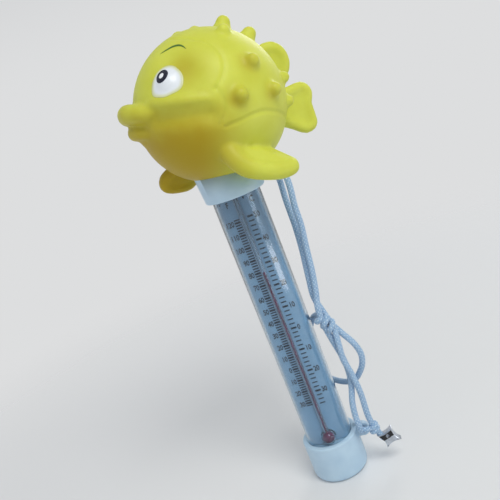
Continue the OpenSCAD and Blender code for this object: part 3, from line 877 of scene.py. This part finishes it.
def cord_lug(reach, root, z, disc_r, hole_r, turn=0.0):
    """A flat rounded lug with one softened hole, standing out from the tube."""
    bm = bmesh.new()
    steps = 16
    outline = [(root, z - disc_r + 0.4)]
    for k in range(steps + 1):
        a = math.radians(-90 + 180 * k / steps)
        outline.append((reach + disc_r * math.cos(a), z + disc_r * math.sin(a)))
    outline.append((root, z + disc_r - 0.4))
    verts = [bm.verts.new((x, -LUG_T / 2, h)) for x, h in outline]
    face = bm.faces.new(verts)
    pushed(bm, face, (0, LUG_T, 0))
    rims = [e for e in bm.edges if abs(e.verts[0].co.y - e.verts[1].co.y) < 0.01]
    bmesh.ops.bevel(bm, geom=rims, offset=0.45, segments=3, profile=0.5, affect="EDGES",
                    material=-1)
    bmesh.ops.rotate(bm, verts=bm.verts, cent=(0, 0, 0),
                     matrix=Matrix.Rotation(math.radians(turn), 3, "Z"))
    wide, face_y = hole_r + LUG_SOFT, LUG_T / 2
    hole = turned(rounded([(wide, LUG_T, 0), (wide, face_y, 0), (hole_r, face_y - LUG_SOFT, 0),
                           (hole_r, -face_y + LUG_SOFT, 0), (wide, -face_y, 0),
                           (wide, -LUG_T, 0), (0, -LUG_T, 0), (0, LUG_T, 0)]), 40)
    way = (Matrix.Rotation(math.radians(turn), 4, "Z") @ Matrix.Translation((reach, 0, z))
           @ Matrix.Rotation(math.radians(90), 4, "X"))
    bmesh.ops.transform(hole, matrix=way, verts=hole.verts)
    return bm, hole


def cut(mesh, tool, kind="DIFFERENCE"):
    """One mesh cut by, or joined to, another."""
    other = bpy.data.objects.new("tool", tool)
    scene.collection.objects.link(other)
    result = baked(mesh, ("BOOLEAN", {"operation": kind, "object": other, "solver": "EXACT"}))
    bpy.data.objects.remove(other)
    return result


def lugged(body_bm, lug):
    """A turned body with a lug grown on it, and the lug's hole cut."""
    lug_bm, hole_bm = lug
    mesh = cut(to_mesh(body_bm), to_mesh(lug_bm), "UNION")
    return cut(mesh, to_mesh(hole_bm))


collar_profile = rounded([
    (TUBE_R + GLUE_GAP, 130.7, 0.3), (12.3, 130.7, 0.7), (13.2, 142.8, 0.5), (8.0, 142.8, 0),
    (8.0, 144.5, 0.3), (6.4, 144.5, 0.3), (6.4, 136.1, 0), (TUBE_R + GLUE_GAP, 136.1, 0)])
collar_mesh = lugged(turned(collar_profile), cord_lug(20.2, 11.0, 134.4, 3.4, 1.9, 20.0))
BELLY_LIFT, BELLY_INSET, BELLY_CUT_Z = 1.5, 0.3, 160  # the hollow that seats the float
belly = ball(Vector(FLOAT_CENTRE) + Vector((0, 0, BELLY_LIFT)), FLOAT_R - BELLY_INSET, 128)
bmesh.ops.delete(belly, geom=[v for v in belly.verts if v.co.z > BELLY_CUT_Z], context="VERTS")
bmesh.ops.holes_fill(belly, edges=[e for e in belly.edges if e.is_boundary], sides=0)
bmesh.ops.recalc_face_normals(belly, faces=belly.faces)
collar = add_piece("float_collar", cut(collar_mesh, to_mesh(belly)), BLUE_PLASTIC)
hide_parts("collar")

cap_profile = rounded([
    (0, 0, 0), (12.25, 0, 2.6), (12.25, 17.4, 0.7), (TUBE_R + GLUE_GAP, 17.4, 0.3),
    (TUBE_R + GLUE_GAP, 3.0, 0), (0, 3.0, 0)])
cap_mesh = lugged(turned(cap_profile), cord_lug(14.6, 11.0, 15.2, 3.0, 1.6))
foot_cap = add_piece("foot_cap", cap_mesh, BLUE_PLASTIC)
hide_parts("bottom_cap")

tube_profile = rounded([(BORE_R, TUBE_FOOT, 0.2), (TUBE_R, TUBE_FOOT, 0.2), (TUBE_R, TUBE_TOP, 0.2),
                        (BORE_R, TUBE_TOP, 0.2)])
tube = add_piece("clear_tube_wall", to_mesh(turned(tube_profile)), ACRYLIC)
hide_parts("clear_tube")


# ---------------------------------------------------------------- the scale and its thermometer

ZERO_Z = 71.0
DEGREE_H = 1.0  # millimetres to one degree Celsius
CARD_FRONT = -4.0
INK_T = 0.12
DIGIT_H = 2.4
DIGIT_STRETCH = 0.7
STROKE_SWELL = 0.07


def printed_text(body, x, z, align, height=DIGIT_H):
    """A printed label centred on height z, flat on the card's front."""
    label = bpy.data.curves.new("label", "FONT")
    label.body = body
    label.align_x = align
    label.size = height / 0.70
    label.extrude = INK_T * 0.45
    label.resolution_u = 4
    label.offset = STROKE_SWELL
    holder = bpy.data.objects.new("label", label)
    scene.collection.objects.link(holder)
    shaped = holder.evaluated_get(bpy.context.evaluated_depsgraph_get())
    mesh = bpy.data.meshes.new_from_object(shaped)
    bpy.data.objects.remove(holder)
    bm = bmesh.new()
    bm.from_mesh(mesh)
    bpy.data.meshes.remove(mesh)
    bmesh.ops.remove_doubles(bm, verts=bm.verts, dist=0.0005)
    low = min(v.co.y for v in bm.verts)
    high = max(v.co.y for v in bm.verts)
    grow = height / (high - low)
    bmesh.ops.transform(bm, verts=bm.verts, matrix=(
        Matrix.Translation((x, CARD_FRONT - INK_T * 0.5, z))
        @ Matrix.Rotation(math.radians(90), 4, "X")
        @ Matrix.Diagonal((grow * DIGIT_STRETCH, grow, 1, 1))
        @ Matrix.Translation((0, -(low + high) / 2, 0))))
    return bm


fahrenheit = [printed_text(str(abs(f)), -4.25, ZERO_Z + (f - 32) * DEGREE_H / 1.8, "RIGHT")
              for f in range(-30, 121, 10)]
fahrenheit += [printed_text("°", -7.2, 128.7, "LEFT", 0.9),
               printed_text("F", -3.6, 127.6, "RIGHT", 2.3)]
celsius = [printed_text(str(abs(c)), 4.45, ZERO_Z + c * DEGREE_H, "LEFT")
           for c in range(-30, 51, 10)]
celsius += [printed_text("°", 2.6, 128.7, "LEFT", 0.9), printed_text("C", 5.0, 127.4, "LEFT", 2.6)]
for name, labels, node in (("printed_fahrenheit", fahrenheit, "fahrenheit_numerals"),
                           ("printed_celsius", celsius, "celsius_numerals")):
    printed = add_piece(name, to_mesh(joined(labels)), INK, smooth=False)
    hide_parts(node)

STEM_R = 1.2
BULB_R = 3.0
BULB_Z = 19.0
COLUMN_R = 0.45
COLUMN_FOOT, COLUMN_TOP = 22.5, 98.0

bulb_arc = [(BULB_R * math.cos(math.radians(a)), BULB_Z + BULB_R * math.sin(math.radians(a)))
            for a in range(-90, 57, 7)]
neck = [(1.45, 21.8), (1.26, 22.4), (STEM_R, 23.2)]
tip = [(STEM_R * math.cos(math.radians(a)), 130.4 + STEM_R * math.sin(math.radians(a)))
       for a in range(0, 91, 15)]
outside = [(max(r, 0), z) for r, z in bulb_arc] + neck + tip
inside = [(0, 130.2), (0.5, 129.8), (0.5, 22.6), (0.9, 21.4)]
inside += [(2.6 * math.cos(math.radians(a)), BULB_Z + 2.6 * math.sin(math.radians(a)))
           for a in range(60, -91, -10)]
inside[-1] = (0, BULB_Z - 2.6)


def glass_mesh():
    """The drawn stem and blown bulb: an outer skin and the bore inside it."""
    shells = []
    for profile in (outside, inside):
        bm = bmesh.new()
        points = [bm.verts.new((r, 0, z)) for r, z in profile]
        edges = [bm.edges.new(pair) for pair in zip(points, points[1:])]
        bmesh.ops.spin(bm, geom=points + edges, cent=(0, 0, 0), axis=(0, 0, 1), angle=math.tau,
                       steps=48, use_merge=True)
        bmesh.ops.remove_doubles(bm, verts=bm.verts, dist=0.001)
        bmesh.ops.recalc_face_normals(bm, faces=bm.faces)
        shells.append(bm)
    bmesh.ops.reverse_faces(shells[1], faces=shells[1].faces)
    whole = joined(shells)
    bmesh.ops.translate(whole, verts=whole.verts, vec=(0, STEM_Y, 0))
    return to_mesh(whole)


stem = add_piece("glass_stem_and_bulb", glass_mesh(), STEM_GLASS)
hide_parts("thermometer_glass")

THREAD_RINGS = 60
straight = COLUMN_TOP - 0.2 - COLUMN_FOOT
thread_profile = [(0, COLUMN_FOOT)]
thread_profile += [(COLUMN_R, COLUMN_FOOT + straight * k / THREAD_RINGS)
                   for k in range(THREAD_RINGS + 1)]
thread_profile += [(COLUMN_R * 0.7, COLUMN_TOP - 0.06), (0, COLUMN_TOP)]
thread = add_piece("dyed_thread", to_mesh(turned(thread_profile, 20, (0, STEM_Y))), SPIRIT,
                   body=None)
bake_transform(thread)
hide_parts("liquid_column", "column_top")

cushion_profile = rounded([(0, 13.55, 0), (8.7, 13.55, 0.7), (8.95, 14.7, 0.8), (8.6, 15.75, 0.6),
                           (4.5, 15.88, 0.5), (0, 15.7, 0)])
cushion = add_piece("foam_cushion", to_mesh(turned(cushion_profile, 96)), FOAM)
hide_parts("bulb_cushion")

for node, material in (("scale_card", CARD), ("fahrenheit_ticks", INK), ("celsius_ticks", INK),
                       ("bulb_liquid", SPIRIT), ("stem_clip", CLIP_WIRE), ("collar_gasket", RUBBER),
                       ("ballast_weight", TURNED_STEEL), ("tube_plug", PLUG_WHITE),
                       ("plug_seal", RUBBER)):
    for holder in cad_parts[node].material_slots:
        holder.material = material


# ---------------------------------------------------------------- cord, knots and crimp

CORD_D = 2.6
CARRIERS = 10  # bundles of fibre each way round the cord
BUNDLE = math.pi * CORD_D / CARRIERS  # width of one raised diamond
BRAID_RELIEF = 0.13
AROUND_CORD = 40
RING_STEP = 0.2
LANYARD_ROUTE = [
    (14.6, 0.6, 15.2), (14.6, -1.2, 15.25), (14.55, -3.9, 16.1), (14.45, -6.2, 18.4),
    (14.3, -7.2, 21.6), (14.3, -6.7, 26.4), (14.9, -5, 31.5), (16.5, -3.2, 37), (17.5, -2.2, 42.5),
    (17.5, -2.2, 50), (15.9, -2.4, 60), (14.8, -3.1, 69), (15, -3.1, 75.5), (16.4, -2, 82),
    (17.8, -1, 90.5), (18.9, 0, 101), (20, 0.2, 110), (20.2, 0.4, 118), (21, 0.8, 125.6),
    (20.93, 1.54, 130.25), (20.19, 3.59, 133.25), (18.98, 6.91, 134.4), (17.77, 10.23, 133.25),
    (17.03, 12.28, 130.25), (16.95, 12.5, 126.5), (16.8, 9.9, 119.5), (17.1, 5.6, 109),
    (16.7, 3.2, 100), (15.4, 1.2, 88), (14.7, 0, 79.5), (16.3, -0.5, 72), (18.2, -2.6, 65.5),
    (18, -5, 58.5), (17.6, -5.2, 52), (18.7, -5.2, 44.5), (19.5, -5.2, 35), (19.2, -5.3, 22.5),
    (20.2, -5.2, 17), (21.3, -5.6, 13.9), (22.2, -5.9, 11.6)]
LOOP_ROUTE = [
    (18.4, -1.6, 65.4), (21, -2.4, 61), (23.9, -3.2, 56), (25.1, -3.1, 50.6), (24.2, -2.3, 46),
    (22, -1, 42), (19.2, 0.7, 38.6), (15.8, 3.2, 36.7), (12, 7, 35.8), (7.4, 11.6, 36.4),
    (3.8, 13.4, 39.8), (3, 13.6, 45), (4, 13.4, 53), (6.6, 12.4, 61), (10.2, 9.2, 67.4),
    (13.2, 4.6, 69.8), (14.4, 0.6, 70.4)]
BOW_WRAP = {"low": (17.7, -2.5, 65.4), "high": (14.2, -2.4, 71.2), "radius": 2.0, "turns": 2.1}
END_WRAP = {"low": (19.9, -5.2, 15.9), "high": (19.5, -5.2, 18.7), "radius": 1.45, "turns": 1.6}


def braided_tube(name, line, diameter):
    """A cord along a line: a sleeve of raised diamonds, closed at both ends."""
    rings = len(line)
    bm = bmesh.new()
    bm.loops.layers.uv.new("braid")
    bmesh.ops.create_grid(bm, x_segments=AROUND_CORD, y_segments=rings - 1, size=0.5, calc_uvs=True)
    mesh = bpy.data.meshes.new(name)
    bm.to_mesh(mesh)
    bm.free()
    flat = np.empty(len(mesh.vertices) * 3)
    mesh.vertices.foreach_get("co", flat)
    flat = flat.reshape(-1, 3) + 0.5
    ahead = np.gradient(line, axis=0)
    ahead /= np.linalg.norm(ahead, axis=1)[:, None]
    side = np.array((0.3, 0.2, 1.0))
    sides = []
    for way in ahead:
        side = side - way * (side @ way)
        side /= np.linalg.norm(side)
        sides.append(side)
    sides = np.array(sides)
    ups = np.cross(ahead, sides)
    ring = np.clip(np.rint(flat[:, 1] * (rings - 1)).astype(int), 0, rings - 1)
    length = np.concatenate([[0], np.cumsum(np.linalg.norm(np.diff(line, axis=0), axis=1))])
    turn = flat[:, 0] * CARRIERS
    travel = length[ring] / BUNDLE
    hump = np.sqrt(np.abs(np.sin(math.pi * (turn + travel)) * np.sin(math.pi * (turn - travel))))
    r = diameter / 2 - BRAID_RELIEF * (1 - hump)
    angle = (flat[:, 0] * math.tau)[:, None]
    places = line[ring] + r[:, None] * (np.cos(angle) * sides[ring] + np.sin(angle) * ups[ring])
    mesh.vertices.foreach_set("co", (places * MM).ravel())
    corner_vertex = np.empty(len(mesh.loops), dtype=int)
    mesh.loops.foreach_get("vertex_index", corner_vertex)
    uvs = np.stack([turn[corner_vertex], travel[corner_vertex]], axis=1)
    mesh.uv_layers["braid"].data.foreach_set("uv", uvs.ravel())
    bm = bmesh.new()
    bm.from_mesh(mesh)
    bmesh.ops.remove_doubles(bm, verts=bm.verts, dist=1e-6)
    bmesh.ops.holes_fill(bm, edges=[e for e in bm.edges if e.is_boundary], sides=0)
    bmesh.ops.recalc_face_normals(bm, faces=bm.faces)
    bm.to_mesh(mesh)
    bm.free()
    return add_piece(name, mesh, BRAID)


def wrap_line(low, high, radius, turns, start_turn=0.0):
    """The middle line of a cord wound round the axis from low to high, its ends drawn inside."""
    low, high = Vector(low), Vector(high)
    axis = (high - low).normalized()
    across = axis.cross(Vector((0, 1, 0))).normalized()
    along = axis.cross(across)
    points = []
    steps = int(turns * 16)
    for k in range(-5, steps + 6):
        t = k / steps
        a = math.tau * turns * t + start_turn
        inward = max(0.0, -k / 5, (k - steps) / 5)
        r = radius * (1 - 0.75 * inward)
        t = min(max(t, 0.04), 0.96)
        points.append(low.lerp(high, t) + (across * math.cos(a) + along * math.sin(a)) * r)
    return smooth_route(points, RING_STEP)[0]


bow_knot = braided_tube("bow_knot_wraps", wrap_line(**BOW_WRAP), 2.4)
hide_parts("bow_knot")
end_knot = braided_tube("end_knot_wraps", wrap_line(**END_WRAP), 2.2)
END_RUN = [(14.6, -6.2, 18.8), (15.6, -6.6, 18.6), (17, -6.6, 18.2), (18.6, -5.8, 17.6),
           (19.6, -5, 17)]
end_run = braided_tube("end_knot_run", smooth_route(END_RUN, RING_STEP)[0], 2.2)
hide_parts("end_knot")


def pinched_crimp():
    """A square collar of soft metal, squeezed hollow on all four sides and rolled at its rims."""
    bm = bmesh.new()
    corner = 3.6
    outline = []
    for side in range(4):
        for k in range(8):
            t = k / 8
            x = -corner + 2 * corner * t
            y = -corner + 0.95 * math.sin(math.pi * t) ** 0.8
            outline.append((Matrix.Rotation(math.radians(90 * side), 2) @ Vector((x, y)))[:])
    verts = [bm.verts.new((x, y, -1.7)) for x, y in outline]
    face = bm.faces.new(verts)
    pushed(bm, face, (0, 0, 3.4))
    rims = [e for e in bm.edges if abs(e.verts[0].co.z - e.verts[1].co.z) < 0.01]
    bmesh.ops.bevel(bm, geom=rims, offset=0.5, segments=4, profile=0.5, affect="EDGES", material=-1)
    hole = bmesh.new()
    bmesh.ops.create_cone(hole, cap_ends=True, segments=32, radius1=0.8, radius2=0.8, depth=5,
                          matrix=Matrix.Translation((0, 1.4, 0)))
    return cut(to_mesh(bm, CRIMP_PLACE), to_mesh(hole, CRIMP_PLACE))


CRIMP_PLACE = (Matrix.Translation(mm(24.6, -6, 12))
               @ Euler((math.radians(90), math.radians(-20), 0)).to_matrix().to_4x4())
crimp = add_piece("pinched_crimp", pinched_crimp(), PRESSED_METAL)
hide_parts("cord_crimp")
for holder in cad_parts["crimp_face"].material_slots:
    holder.material = BLACK_ENAMEL

lanyard_line, lanyard_length = smooth_route(LANYARD_ROUTE, RING_STEP)
lanyard = braided_tube("lanyard_cord", lanyard_line, CORD_D)
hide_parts("lanyard")
loop_line, loop_length = smooth_route(LOOP_ROUTE, RING_STEP)
loop = braided_tube("bow_loop_cord", loop_line, CORD_D)
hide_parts("bow_loop")
